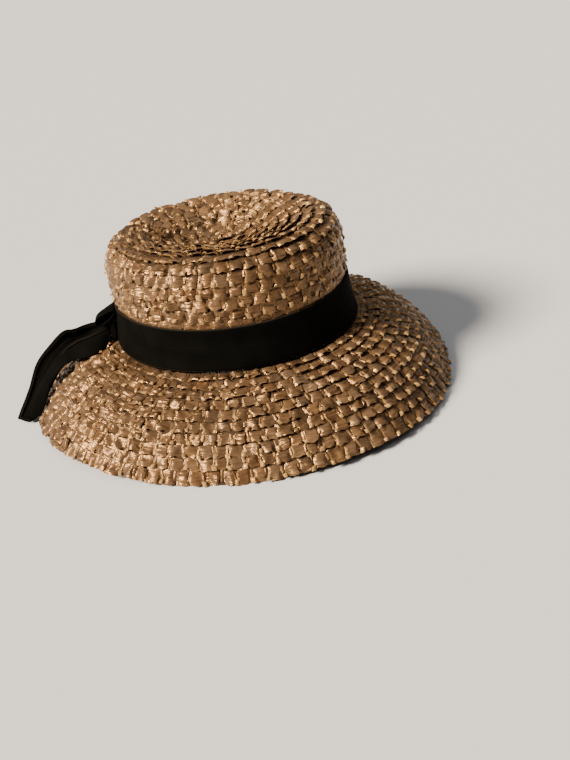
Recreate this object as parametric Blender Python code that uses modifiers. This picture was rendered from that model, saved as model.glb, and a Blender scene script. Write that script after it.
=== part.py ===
"""Straw hat: an oval crown with a dished top, a turned-down brim of sewn straw rows, and a
velvet ribbon round the foot of the crown that is tied at the back. Metres, +Z up, the hat's
front towards -Y. It rests on four level places of its rim."""

import math

import bmesh
import bpy
from mathutils import Matrix, Vector

HAT = "straw_hat"
GAP = 0.0003                # between pieces that touch

CROWN_LENGTH = 0.2046       # outside, at the foot of the crown
CROWN_WIDTH = 0.1718
CROWN_HEIGHT = 0.0886       # from the foot to the top of the shoulder
WAIST_HEIGHT = 0.0345       # the wall draws in up to here
WAIST_DEPTH = 0.0047
SHOULDER_RADIUS = 0.020
CROWN_TILT = 0.0015         # the front of the top is this much higher, and the back lower
DISH_DEPTH = 0.012
TIP_FLAT = 0.012            # half length of the level disc in the middle of the top

BRIM_WIDTH = 0.076          # seen from above
BRIM_DROP = 0.0547          # from the crown's foot to the middle height of the rim
BRIM_TURN = 3.0             # how late the brim turns down
BRIM_SLOPE = 0.3            # share of the drop that is an even slope
RIM_WAVE = 0.0035
RIM_SWAY = 0.002

STRAW_WALL = 0.003
ROW_WIDTH = 0.0112
ROW_RELIEF = 0.0008

RIBBON_WIDTH = 0.036
BAND_THICKNESS = 0.0013
TAIL_THICKNESS = 0.0018
CREASE_DEPTH = 0.0016

BOW_PLACE = 0.016           # from the middle of the back, towards the wearer's right
KNOT_WIDTH = 0.018
KNOT_HEIGHT = 0.028
KNOT_DEPTH = 0.005
KNOT_BEVEL = 0.002
LOOP_HEIGHT = 0.008
LOOP_DEPTH = 0.012
LOOP_WIDTH = 0.015
LOOP_PINCH = 0.6            # share of the loop's height that is left at the knot
LOOP_DROOP = 66.0           # degrees below level
LOOP_DROP = 0.0005          # below the top of the knot's flat face

SIDES = 48                  # round the crown and the brim
PATH_STEPS = 60             # in each stretch of a section while its length is measured
BAND_LEVELS = 5
LOOP_TURNS = 14
TAIL_STEPS = 3              # from one row of a tail's table to the next
BEVEL_STEPS = 3
SEARCH_STEPS = 20
EDGE_ANGLE = 50.0           # degrees; a sharper edge isn't shaded smooth

# Each row of this table is one wave of the rim: how many times it goes round, its share of
# RIM_WAVE up and down, its share of RIM_SWAY outwards, and where it starts, in degrees.
RIM_FORM = (
    # times, lift, sway, start
    (4, -1.0, -1.0, 0.0),
    (3, 0.0, 1.15, 90.0),
    (2, 0.0, 0.5, 0.0),
)

# Sections of the ribbon's ends. An edge's distance from the knot is a share of BRIM_WIDTH, its
# place to the side and its height over the brim are shares of RIBBON_WIDTH.
FAR_TAIL = (
    # top: out, side, height; bottom: out, side, height
    (0.00, -0.16, 0.36, 0.00, -0.14, 0.06),
    (0.11, -0.16, 0.39, 0.10, -0.14, 0.06),
    (0.26, -0.21, 0.46, 0.26, -0.18, 0.08),
    (0.40, -0.13, 0.58, 0.38, -0.09, 0.16),
    (0.51, -0.07, 0.77, 0.455, -0.02, 0.26),
    (0.66, 0.00, 0.85, 0.53, 0.09, 0.30),
    (0.87, 0.10, 1.05, 0.68, 0.22, 0.32),
    (1.02, 0.23, 0.71, 0.84, 0.35, 0.34),
    (1.19, 0.35, 0.16, 1.03, 0.48, 0.12),
    (1.22, 0.46, 0.06, 1.13, 0.60, 0.05),
)
NEAR_TAIL = (
    (0.00, 0.13, 0.36, 0.00, 0.20, 0.08),
    (0.06, 0.13, 0.33, 0.05, 0.21, 0.08),
    (0.23, 0.12, 0.34, 0.19, 0.41, 0.06),
    (0.37, 0.11, 0.40, 0.325, 0.40, 0.12),
    (0.50, 0.13, 0.46, 0.45, 0.36, 0.24),
    (0.61, 0.25, 0.52, 0.555, 0.41, 0.35),
    (0.725, 0.37, 0.57, 0.67, 0.48, 0.41),
    (0.86, 0.46, 0.64, 0.795, 0.54, 0.44),
    (0.99, 0.52, 0.52, 0.90, 0.57, 0.38),
    (1.06, 0.56, 0.22, 1.00, 0.60, 0.18),
)
ACROSS = (0.0, 0.25, 0.5, 0.75, 1.0)

COLOURS = {
    "straw": ((0.235, 0.135, 0.066), 0.55),
    "velvet": ((0.006, 0.005, 0.004), 0.95),
}


def clear_scene():
    for item in list(bpy.data.objects):
        bpy.data.objects.remove(item, do_unlink=True)


def material(name):
    made = bpy.data.materials.get(name) or bpy.data.materials.new(name)
    made.use_nodes = True
    colour, roughness = COLOURS[name]
    shader = made.node_tree.nodes["Principled BSDF"]
    shader.inputs["Base Color"].default_value = (*colour, 1.0)
    shader.inputs["Roughness"].default_value = roughness
    shader.inputs["Metallic"].default_value = 0.0
    return made


def add_mesh(name, points, faces, finish, folder):
    mesh = bpy.data.meshes.new(name)
    mesh.from_pydata([tuple(p) for p in points], [], faces)
    mesh.update()
    item = bpy.data.objects.new(name, mesh)
    mesh.materials.append(material(finish))
    mesh.shade_smooth()
    folder.objects.link(item)
    return item


def add_thickness(item, thickness, outwards):
    shell = item.modifiers.new("thickness", "SOLIDIFY")
    shell.thickness = thickness
    shell.offset = 1.0 if outwards else -1.0
    shell.use_even_offset = True
    return shell


def wave(angle, column):
    """Sum of the rim's waves at an angle from the front; column 1 lifts, column 2 sways."""
    return sum(row[column] * math.cos(row[0] * angle + math.radians(row[3])) for row in RIM_FORM)


def angles():
    """Half a step off the front, so that a rim face lies level at each resting place."""
    step = 2 * math.pi / SIDES
    return [(count + 0.5) * step for count in range(SIDES)]


RIM_HEIGHT = RIM_WAVE * math.cos(4 * math.pi / SIDES)
FOOT_HEIGHT = RIM_HEIGHT + BRIM_DROP
CROWN_FOOT = FOOT_HEIGHT + GAP


class Station:
    """A place on the hat's section: how far outside the foot's oval, its height, the share of
    the oval's size that is left, and the shares of the rim's waves and the crown's tilt."""

    def __init__(self, out, height, size=1.0, waves=0.0, tilt=0.0):
        self.out = out
        self.height = height
        self.size = size
        self.waves = waves
        self.tilt = tilt

    def half_length(self):
        return (CROWN_LENGTH / 2 + self.out) * self.size

    def half_width(self):
        return (CROWN_WIDTH / 2 + self.out) * self.size

    def point(self, angle):
        sway = RIM_SWAY * wave(angle, 2) * self.waves
        length = self.half_length() + sway
        width = self.half_width() + sway
        lift = RIM_WAVE * wave(angle, 1) * self.waves + CROWN_TILT * math.cos(angle) * self.tilt
        return Vector((width * math.sin(angle), -length * math.cos(angle), self.height + lift))

    def ring(self):
        return [self.point(angle) for angle in angles()]


def brim_station(share):
    """The brim's upper face at a share of its width, 0 at the crown and 1 at the rim."""
    fall = BRIM_SLOPE * share + (1 - BRIM_SLOPE) * share ** BRIM_TURN
    return Station(share * BRIM_WIDTH, FOOT_HEIGHT - BRIM_DROP * fall, waves=share * share)


def wall_station(height):
    """The crown's wall at a height over its foot."""
    rise = min(height / WAIST_HEIGHT, 1.0)
    inset = WAIST_DEPTH * (1 - (1 - rise) ** 2)
    tilt = height / CROWN_HEIGHT
    return Station(-inset, CROWN_FOOT + height, tilt=tilt)


def shoulder_station(turn):
    """The shoulder, from turn 0 at the wall to 1 at the top."""
    angle = turn * math.pi / 2
    inset = WAIST_DEPTH + SHOULDER_RADIUS * (1 - math.cos(angle))
    height = CROWN_HEIGHT - SHOULDER_RADIUS * (1 - math.sin(angle))
    return Station(-inset, CROWN_FOOT + height, tilt=height / CROWN_HEIGHT)


def dish_station(size):
    """The dished top, at a share of its oval's size."""
    inset = WAIST_DEPTH + SHOULDER_RADIUS
    flat = TIP_FLAT / (CROWN_LENGTH / 2 - inset)
    rest = (size - flat) / (1 - flat)
    height = CROWN_HEIGHT - DISH_DEPTH * (1 + math.cos(math.pi * rest)) / 2
    return Station(-inset, CROWN_FOOT + height, size, tilt=rest * rest)


def brim_path():
    """Stations up the brim's outer face, from the rim to the crown's foot."""
    return [brim_station(1 - count / PATH_STEPS) for count in range(PATH_STEPS + 1)]


def crown_path():
    """Stations up the crown's outer face, from its foot to the disc in the top."""
    wall = CROWN_HEIGHT - SHOULDER_RADIUS
    inset = WAIST_DEPTH + SHOULDER_RADIUS
    flat = TIP_FLAT / (CROWN_LENGTH / 2 - inset)
    shares = [count / PATH_STEPS for count in range(PATH_STEPS)]
    path = [wall_station(wall * share) for share in shares]
    path += [shoulder_station(share) for share in shares]
    path += [dish_station(1 - (1 - flat) * share) for share in shares]
    path.append(dish_station(flat))
    return path


def path_lengths(path):
    total = [0.0]
    for before, after in zip(path, path[1:]):
        step = math.hypot(after.half_length() - before.half_length(), after.height - before.height)
        total.append(total[-1] + step)
    return total


def mixed(first, second, share):
    def blend(field):
        low = getattr(first, field)
        return low + (getattr(second, field) - low) * share

    return Station(*(blend(field) for field in ("out", "height", "size", "waves", "tilt")))


def at_length(path, total, length):
    last = len(path) - 2
    place = next((i for i in range(last) if total[i + 1] >= length), last)
    share = (length - total[place]) / (total[place + 1] - total[place])
    return mixed(path[place], path[place + 1], min(max(share, 0.0), 1.0)), place


def moved_off(path, total, length, distance):
    """The station at a length along the path, moved off the face by a distance."""
    station, place = at_length(path, total, length)
    run = path[place + 1].half_length() - path[place].half_length()
    rise = path[place + 1].height - path[place].height
    reach = math.hypot(run, rise)
    station.out += distance * rise / reach / station.size
    station.height -= distance * run / reach
    return station


def outer_stations(path):
    """Rows of straw as shallow ribs: a groove at each row's edge and a crest in its middle."""
    total = path_lengths(path)
    rows = max(round(total[-1] / ROW_WIDTH), 1)
    steps = 2 * rows
    found = []
    for count in range(steps + 1):
        depth = ROW_RELIEF if count % 2 == 0 and count < steps else 0.0
        found.append(moved_off(path, total, total[-1] * count / steps, -depth))
    return found, rows


def inner_stations(path, rows):
    total = path_lengths(path)
    return [moved_off(path, total, total[-1] * count / rows, -STRAW_WALL) for count in range(rows + 1)]


def loft(rings, closed):
    """Faces through rings of equal length. A closed loft joins its last ring to its first."""
    points = [point for ring in rings for point in ring]
    count = len(rings)
    faces = []
    for row in range(count if closed else count - 1):
        lower = row * SIDES
        upper = (row + 1) % count * SIDES
        for side in range(SIDES):
            after = (side + 1) % SIDES
            faces.append((lower + side, lower + after, upper + after, upper + side))
    if not closed:
        faces.append(tuple(reversed(range(SIDES))))
        faces.append(tuple(range((count - 1) * SIDES, count * SIDES)))
    return points, faces


def make_brim(folder):
    """A turned-down sheet whose inner edge is a level ledge under the crown's foot."""
    path = brim_path()
    outer, rows = outer_stations(path)
    inner = inner_stations(path, rows)
    rise = path[1].height - path[0].height
    run = path[0].half_length() - path[1].half_length()
    rim_face = STRAW_WALL * math.hypot(rise, run) / rise
    rim = Station(outer[0].out - rim_face, outer[0].height, waves=1.0)
    ledge = [Station(-STRAW_WALL, FOOT_HEIGHT), Station(-STRAW_WALL, FOOT_HEIGHT - STRAW_WALL)]
    under = list(reversed(inner[1:]))
    rings = [station.ring() for station in outer + ledge + under + [rim]]
    points, faces = loft(rings, True)
    brim = add_mesh("brim", points, faces, "straw", folder)
    brim.data.set_sharp_from_angle(angle=math.radians(EDGE_ANGLE))
    return brim


def make_crown(folder):
    """A hollow wall with a rounded shoulder and a dish, with a level disc in the middle."""
    path = crown_path()
    outer, rows = outer_stations(path)
    inner = inner_stations(path, rows)
    foot = Station(-STRAW_WALL, CROWN_FOOT)
    disc = Station(inner[-1].out, inner[-1].height, inner[-1].size)
    inside = [disc] + list(reversed(inner[1:-1])) + [foot]
    rings = [station.ring() for station in inside + outer]
    points, faces = loft(rings, False)
    crown = add_mesh("crown", points, faces, "straw", folder)
    crown.data.set_sharp_from_angle(angle=math.radians(EDGE_ANGLE))
    return crown


def make_hatband(folder):
    """A velvet ribbon that follows the crown's wall from just over the brim."""
    rings = []
    for count in range(BAND_LEVELS):
        station = wall_station(RIBBON_WIDTH * count / (BAND_LEVELS - 1))
        station.out += GAP
        station.tilt = 0.0
        rings.append(station.ring())
    points, faces = loft(rings, False)
    band = add_mesh("hatband", points, faces[:-2], "velvet", folder)
    add_thickness(band, BAND_THICKNESS, True)
    return band


class BowFrame:
    """Directions at the bow: out from the band, to the side and up."""

    def __init__(self):
        length = CROWN_LENGTH / 2 + GAP + BAND_THICKNESS
        width = CROWN_WIDTH / 2 + GAP + BAND_THICKNESS
        back = length * math.sqrt(1 - (BOW_PLACE / width) ** 2)
        self.origin = Vector((-BOW_PLACE, back, FOOT_HEIGHT))
        self.out = Vector((-BOW_PLACE / width ** 2, back / length ** 2, 0)).normalized()
        self.side = Vector((-self.out.y, self.out.x, 0))

    def place(self, out, side):
        return self.origin + self.out * out + self.side * side


def surface_height(place):
    """Height of the brim's upper face under a place, or of the ground past the rim."""
    low, high = 0.0, 1.0
    for _ in range(SEARCH_STEPS):
        middle = (low + high) / 2
        station = brim_station(middle)
        angle = math.atan2(place.x / station.half_width(), -place.y / station.half_length())
        found = station.point(angle)
        if found.to_2d().length > place.to_2d().length:
            high = middle
        else:
            low = middle
    return found.z if high < 1.0 else 0.0


def smooth_rows(rows, steps):
    """A smooth curve through rows of numbers, with the given steps between each two."""
    found = []
    for place in range(len(rows) - 1):
        four = [rows[max(place - 1, 0)], rows[place], rows[place + 1], rows[min(place + 2, len(rows) - 1)]]
        for step in range(steps):
            t = step / steps
            weights = (
                (-t + 2 * t * t - t ** 3) / 2,
                (2 - 5 * t * t + 3 * t ** 3) / 2,
                (t + 4 * t * t - 3 * t ** 3) / 2,
                (t ** 3 - t * t) / 2,
            )
            found.append([sum(w * row[i] for w, row in zip(weights, four)) for i in range(len(rows[0]))])
    found.append(list(rows[-1]))
    return found


def make_tail(name, table, frame, folder):
    """A ribbon end, creased along its length, from the knot over the brim to the ground."""
    edges = []
    for row in table:
        pair = []
        for out, side, height in (row[:3], row[3:]):
            place = frame.place(KNOT_DEPTH + GAP + out * BRIM_WIDTH, side * RIBBON_WIDTH)
            place.z = surface_height(place) + TAIL_THICKNESS / 2 + height * RIBBON_WIDTH
            pair.extend(place)
        edges.append(pair)
    sections = smooth_rows(edges, TAIL_STEPS)
    points = []
    last = len(sections) - 1
    for count, section in enumerate(sections):
        top, bottom = Vector(section[:3]), Vector(section[3:])
        after, before = sections[min(count + 1, last)], sections[max(count - 1, 0)]
        along = Vector(after[:3]) + Vector(after[3:]) - Vector(before[:3]) - Vector(before[3:])
        if count == 0:
            along = frame.out
        face = along.cross(top - bottom).normalized()
        if face.dot(frame.side) < 0:
            face.negate()
        depth = CREASE_DEPTH * min(2 * count / last, 1.0)
        for share in ACROSS:
            crease = depth * math.sin(2 * math.pi * share)
            points.append(bottom.lerp(top, share) + face * crease)
    width = len(ACROSS)
    faces = []
    for row in range(last):
        for column in range(width - 1):
            corner = row * width + column
            faces.append((corner, corner + 1, corner + width + 1, corner + width))
    tail = add_mesh(name, points, faces, "velvet", folder)
    shell = add_thickness(tail, TAIL_THICKNESS, True)
    shell.offset = 0.0
    return tail


def make_knot(frame, folder):
    """The crossing of the ribbon, a soft block against the band."""
    bpy.ops.mesh.primitive_cube_add(size=1.0)
    knot = bpy.context.object
    knot.name = "bow_knot"
    knot.data.name = "bow_knot"
    turn = Matrix((frame.side, frame.out, Vector((0, 0, 1)))).transposed().to_4x4()
    depth = KNOT_DEPTH - GAP
    centre = frame.place(GAP + depth / 2, 0.0)
    centre.z = FOOT_HEIGHT + GAP + KNOT_HEIGHT / 2
    size = Matrix.Diagonal((KNOT_WIDTH, depth, KNOT_HEIGHT, 1.0))
    knot.data.transform(Matrix.Translation(centre) @ turn @ size)
    if turn.determinant() < 0:
        knot.data.flip_normals()
    knot.data.materials.append(material("velvet"))
    for collection in list(knot.users_collection):
        collection.objects.unlink(knot)
    folder.objects.link(knot)
    rounded = knot.modifiers.new("rounded", "BEVEL")
    rounded.width = KNOT_BEVEL
    rounded.segments = BEVEL_STEPS
    knot.data.shade_smooth()
    return knot


def make_loop(frame, folder):
    """A short loop of ribbon that droops from the knot's upper part, open to both sides."""
    droop = math.radians(LOOP_DROOP)
    profile = []
    for count in range(LOOP_TURNS):
        angle = 2 * math.pi * count / LOOP_TURNS
        along = LOOP_DEPTH * (1 - math.cos(angle)) / 2
        opened = LOOP_PINCH + (1 - LOOP_PINCH) * along / LOOP_DEPTH
        spread = LOOP_HEIGHT / 2 * math.sin(angle) * opened
        out = along * math.cos(droop) + spread * math.sin(droop)
        profile.append((out, spread * math.cos(droop) - along * math.sin(droop)))
    nearest = min(out for out, rise in profile)
    highest = max(rise for out, rise in profile)
    start = KNOT_DEPTH + GAP + BAND_THICKNESS / 2 - nearest
    top = FOOT_HEIGHT + KNOT_HEIGHT - KNOT_BEVEL - LOOP_DROP
    points = []
    for out, rise in profile:
        for side in (-0.5, 0.0, 0.5):
            place = frame.place(start + out, side * LOOP_WIDTH)
            place.z = top + rise - highest
            points.append(place)
    faces = []
    for count in range(LOOP_TURNS):
        after = (count + 1) % LOOP_TURNS
        for side in range(2):
            faces.append((count * 3 + side, count * 3 + side + 1, after * 3 + side + 1, after * 3 + side))
    loop = add_mesh("bow_loop", points, faces, "velvet", folder)
    shell = add_thickness(loop, BAND_THICKNESS, True)
    shell.offset = 0.0
    return loop


def face_outwards(items):
    """Turns each mesh's faces the same way round; a closed one's face out."""
    for item in items:
        work = bmesh.new()
        work.from_mesh(item.data)
        bmesh.ops.recalc_face_normals(work, faces=work.faces)
        work.to_mesh(item.data)
        work.free()


def centre_on_origin(items):
    """Moves the pieces so that the origin is under the middle of the whole."""
    bpy.context.view_layer.update()
    graph = bpy.context.evaluated_depsgraph_get()
    corners = []
    for item in items:
        seen = item.evaluated_get(graph)
        corners += [seen.matrix_world @ Vector(corner) for corner in seen.bound_box]
    low = [min(corner[axis] for corner in corners) for axis in range(3)]
    high = [max(corner[axis] for corner in corners) for axis in range(3)]
    shift = Matrix.Translation((-(low[0] + high[0]) / 2, -(low[1] + high[1]) / 2, -low[2]))
    for item in items:
        item.data.transform(shift)
        item.data.update()


def main():
    clear_scene()
    folder = bpy.data.collections.new(HAT)
    bpy.context.scene.collection.children.link(folder)
    straw = [make_crown(folder), make_brim(folder)]
    frame = BowFrame()
    velvet = [
        make_hatband(folder),
        make_knot(frame, folder),
        make_loop(frame, folder),
        make_tail("tail_far", FAR_TAIL, frame, folder),
        make_tail("tail_near", NEAR_TAIL, frame, folder),
    ]
    face_outwards(straw)
    centre_on_origin(straw + velvet)


main()
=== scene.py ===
"""Dresses the straw hat: plaited straw over the crown and the brim, velvet for the ribbon, and a
plain stage. It is run as a script in Blender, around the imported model."""

import copy
import math

import bpy
import numpy as np
from mathutils import Matrix, Vector


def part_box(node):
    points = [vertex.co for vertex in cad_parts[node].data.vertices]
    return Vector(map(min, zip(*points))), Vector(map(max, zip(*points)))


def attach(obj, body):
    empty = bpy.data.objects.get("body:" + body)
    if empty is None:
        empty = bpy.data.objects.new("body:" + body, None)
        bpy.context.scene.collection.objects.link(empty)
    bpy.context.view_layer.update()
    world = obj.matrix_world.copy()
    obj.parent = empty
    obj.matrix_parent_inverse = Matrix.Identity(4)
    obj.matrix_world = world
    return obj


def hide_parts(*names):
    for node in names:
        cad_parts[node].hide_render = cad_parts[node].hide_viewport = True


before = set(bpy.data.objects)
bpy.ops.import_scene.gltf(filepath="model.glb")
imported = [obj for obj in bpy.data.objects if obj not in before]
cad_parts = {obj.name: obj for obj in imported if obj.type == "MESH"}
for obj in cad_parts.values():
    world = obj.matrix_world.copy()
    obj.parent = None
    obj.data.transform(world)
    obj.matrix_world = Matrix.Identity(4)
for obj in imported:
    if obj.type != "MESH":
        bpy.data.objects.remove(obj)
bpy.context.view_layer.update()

bl_info = {
    "name": "Straw Hat Dresser",
    "version": (1, 0, 0),
    "blender": (4, 5, 0),
    "location": "3D View > Sidebar > Straw Hat",
    "description": "Covers a hat form with plaited straw and dresses its velvet ribbon",
    "category": "Object",
}

CROWN_LOW, CROWN_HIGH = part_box("crown")
AXIS = (CROWN_LOW + CROWN_HIGH) / 2
UPWARD = Vector((0.0, 0.0, 1.0))

# Lowest heights over the floor, of the straw and of the middle of the velvet.
FLOOR_GAP = 0.0002
CLOTH_GAP = 0.0008

# Edges that bend more than this are shaded sharp.
SHARP_FOLD = math.radians(24)

# Each row is one wave of the rim: times round, lift share, sway share, start in degrees.
RIM_FORM = (
    (4, -1.0, -1.0, 0.0),
    (3, 0.0, 1.15, 90.0),
    (2, 0.0, 0.5, 0.0),
)

# Sections of the ribbon's ends. An edge's distance from the knot is a share of the brim's width,
# its place to the side and its height over the brim are shares of the ribbon's width.
FAR_TAIL = (
    # top: out, side, height; bottom: out, side, height
    (0.00, -0.16, 0.36, 0.00, -0.14, 0.06),
    (0.11, -0.16, 0.39, 0.10, -0.14, 0.06),
    (0.26, -0.21, 0.46, 0.26, -0.18, 0.08),
    (0.40, -0.13, 0.58, 0.38, -0.09, 0.16),
    (0.51, -0.07, 0.77, 0.455, -0.02, 0.26),
    (0.66, 0.00, 0.85, 0.53, 0.09, 0.30),
    (0.87, 0.10, 1.05, 0.68, 0.22, 0.32),
    (1.02, 0.23, 0.71, 0.84, 0.35, 0.34),
    (1.19, 0.35, 0.16, 1.03, 0.48, 0.12),
    (1.22, 0.46, 0.06, 1.13, 0.60, 0.05),
)
NEAR_TAIL = (
    (0.00, 0.13, 0.36, 0.00, 0.20, 0.08),
    (0.06, 0.13, 0.33, 0.05, 0.21, 0.08),
    (0.23, 0.12, 0.34, 0.19, 0.41, 0.06),
    (0.37, 0.11, 0.40, 0.325, 0.40, 0.12),
    (0.50, 0.13, 0.46, 0.45, 0.36, 0.24),
    (0.61, 0.25, 0.52, 0.555, 0.41, 0.35),
    (0.725, 0.37, 0.57, 0.67, 0.48, 0.41),
    (0.86, 0.46, 0.64, 0.795, 0.54, 0.44),
    (0.99, 0.52, 0.52, 0.90, 0.57, 0.38),
    (1.06, 0.56, 0.22, 1.00, 0.60, 0.18),
)


def number_prop(name, words, default, **more):
    return bpy.props.FloatProperty(name=name, description=words, default=default, **more)


def size_prop(name, words, default):
    return number_prop(name, words, default, unit="LENGTH", subtype="DISTANCE", precision=5)


def share_prop(name, words, default):
    return number_prop(name, words, default, min=0.0, max=1.0)


def colour_prop(name, words, default):
    return bpy.props.FloatVectorProperty(
        name=name, description=words, default=default, size=3, subtype="COLOR", min=0.0, max=1.0
    )


def angle_prop(name, words, degrees):
    return number_prop(name, words, math.radians(degrees), unit="ROTATION", subtype="ANGLE")


class HatForm(bpy.types.PropertyGroup):
    """Sizes of the form that the straw covers."""

    crown_length: size_prop("Crown Length", "Outside length of the oval at the crown's foot", 0.2046)
    crown_width: size_prop("Crown Width", "Outside width of the oval at the crown's foot", 0.1718)
    crown_height: size_prop("Crown Height", "From the foot to the top of the shoulder", 0.0886)
    waist_height: size_prop("Waist Height", "The crown's wall draws in up to here", 0.0345)
    waist_depth: size_prop("Waist Depth", "How far the crown's wall draws in", 0.0047)
    shoulder: size_prop("Shoulder Radius", "Radius of the turn from the wall to the top", 0.020)
    crown_tilt: size_prop("Crown Tilt", "How much higher the front of the top is", 0.0015)
    dish_depth: size_prop("Dish Depth", "How deep the top is dished", 0.012)
    tip_flat: size_prop("Tip Flat", "Half length of the level middle of the top", 0.012)
    brim_width: size_prop("Brim Width", "Width of the brim seen from above", 0.076)
    brim_drop: size_prop("Brim Drop", "From the crown's foot to the middle height of the rim", 0.0547)
    brim_turn: number_prop("Brim Turn", "How late the brim turns down", 3.0, min=1.0)
    brim_slope: share_prop("Brim Slope", "Share of the drop that is an even slope", 0.3)
    rim_wave: size_prop("Rim Wave", "How far the rim waves up and down", 0.0035)
    rim_sway: size_prop("Rim Sway", "How far the rim waves in and out", 0.002)
    bulge: size_prop("Bulge", "How far the straw of the rim bulges under the bow", 0.0045)
    bulge_place: angle_prop("Bulge Place", "Where the rim bulges, turned from the front", -168.0)
    bulge_spread: angle_prop("Bulge Spread", "How wide the bulge is", 28.0)
    wall: size_prop("Straw Wall", "Thickness of the straw", 0.003)
    gap: size_prop("Gap", "Between the brim and the crown's foot", 0.0003)


class StrawLook(bpy.types.PropertyGroup):
    """Sizes and colours of the plaited straw."""

    row_pitch: size_prop("Row Pitch", "From one row of straw to the next", 0.0099)
    rim_row: size_prop("Rim Row", "Width of the row at the rim", 0.0125)
    tile_pitch: size_prop("Tile Pitch", "From one float of the plait to the next", 0.0118)
    fold_drop: size_prop("Fold Drop", "How far the ends of a float fold down", 0.0019)
    overlap: size_prop("Overlap", "How far a row lies over the next", 0.0002)
    lap_lift: size_prop("Lap Lift", "How far a row's lower edge stands off", 0.0011)
    lowest: size_prop("Lowest", "How deep the straw may reach into the hat's form", -0.0013)
    highest: size_prop("Highest", "How far the straw may stand off the hat's form", 0.0030)
    arch: size_prop("Arch", "How far a float's middle stands over its ends", 0.0009)
    crease: size_prop("Crease Depth", "Depth of the creases along the straw", 0.00042)
    crumple: share_prop("Crumple", "Steepness of the folds across the straw", 0.55)
    neat: share_prop("Neatness", "Share of the crumpling that is left at the front", 0.40)
    nubs: share_prop("Nubs", "Share of the slits with a small fold at their foot", 0.80)
    tufts: share_prop("Tufts", "Share of the slits at the back with a loose end of straw", 0.16)
    tuft_reach: size_prop("Tuft Reach", "How far a loose end may stand off", 0.0048)
    tape: size_prop("Tape Thickness", "Thickness of the flat straw", 0.00032)
    colour: colour_prop("Straw Colour", "Colour of the floats", (0.066, 0.0390, 0.0212))
    # The edge colour is partly worn edges and partly painted highlight on the folded ends and nubs that face
    # the main light.
    pale: colour_prop("Edge Colour", "Colour of folded and rubbed edges", (0.40, 0.242, 0.098))
    # The backing colour is painted shade: it is darker than the straw and stands for the shade deep between
    # the floats.
    deep: colour_prop("Backing Colour", "Colour between the floats", (0.020, 0.0115, 0.0055))
    dull: share_prop("Roughness", "Roughness of the floats", 0.29)
    gloss: share_prop("Edge Roughness", "Roughness of folded and rubbed edges", 0.18)
    seed: bpy.props.IntProperty(name="Seed", description="Seed of the plait's unevenness", default=7)


class VelvetLook(bpy.types.PropertyGroup):
    """Sizes and colours of the velvet ribbon."""

    ribbon_width: size_prop("Ribbon Width", "Width of the velvet ribbon", 0.036)
    cloth: size_prop("Cloth Thickness", "Thickness of the velvet", 0.0011)
    band_stand: size_prop("Band Stand-off", "From the crown's wall to the band's back", 0.0010)
    bow_place: size_prop("Bow Place", "From the middle of the back to the bow", 0.016)
    knot_width: size_prop("Knot Width", "Width of the knot", 0.018)
    knot_height: size_prop("Knot Height", "Height of the knot", 0.028)
    knot_depth: size_prop("Knot Depth", "Depth of the knot", 0.005)
    pleat_depth: size_prop("Pleat Depth", "Half depth of the pleat along an end", 0.0016)
    loop_height: size_prop("Loop Height", "Opening of the loop", 0.0095)
    loop_depth: size_prop("Loop Depth", "Length of the loop", 0.0155)
    loop_width: size_prop("Loop Width", "Width of the gathered loop", 0.015)
    loop_droop: angle_prop("Loop Droop", "How far the loop hangs below level", 38.0)
    colour: colour_prop("Velvet Colour", "Colour of the pile", (0.0008, 0.0008, 0.0006))
    # The selvedge colour is lighter than the pile: partly the woven edge, partly painted sheen along the
    # ribbon's edges.
    edge: colour_prop("Selvedge Colour", "Colour of the woven edge", (0.016, 0.012, 0.008))


class StageLook(bpy.types.PropertyGroup):
    """The floor, the lamps and the camera."""

    floor_size: size_prop("Floor Size", "Side of the floor", 60.0)
    floor_colour: colour_prop("Floor Colour", "Colour of the floor", (0.43, 0.44, 0.465))
    air_colour: colour_prop("Air Colour", "Colour of the light all round", (1.0, 0.97, 0.94))
    air_power: number_prop("Air Strength", "Strength of the light all round", 0.08, min=0.0)
    wall_colour: colour_prop("Backdrop Colour", "Light of the far backdrop", (1.0, 0.90, 0.78))
    key_power: number_prop("Key Strength", "Strength of the main light", 16.0, min=0.0)
    key_turn: angle_prop("Key Turn", "Where the main light comes from, turned from the front", -145.0)
    key_rise: angle_prop("Key Rise", "How high the main light stands", 38.0)
    key_spread: angle_prop("Key Spread", "How wide the main light is", 17.0)
    top_power: number_prop("Top Strength", "Strength of the soft light from above", 1.2, min=0.0)
    top_spread: angle_prop("Top Spread", "How wide the light from above is", 80.0)
    key_colour: colour_prop("Key Colour", "Colour of the main lamp", (1.0, 0.86, 0.68))
    lens: number_prop("Lens", "Focal length on a 36 mm sensor", 47.37, unit="CAMERA")
    distance: size_prop("Distance", "From the camera to the hat's middle", 0.8853)
    azimuth: angle_prop("Azimuth", "Turn of the camera round the hat, 0 in front", -78.54)
    elevation: angle_prop("Elevation", "Height of the camera over the level", 31.25)
    roll: angle_prop("Roll", "Roll of the camera", 9.264)
    slide_right: size_prop("Slide Right", "Camera moved to its right", 0.0337)
    slide_up: size_prop("Slide Up", "Camera moved up", -0.0057)


def rim_level(form):
    """Middle height of the rim, whose lowest places are level facets on the floor."""
    return form.rim_wave * math.cos(math.pi / 12)


def drawn_in(form, rise):
    """How far the crown's wall draws in at a height over its foot."""
    return form.waist_depth * (1 - (1 - np.minimum(rise / form.waist_height, 1.0)) ** 2)


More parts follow.
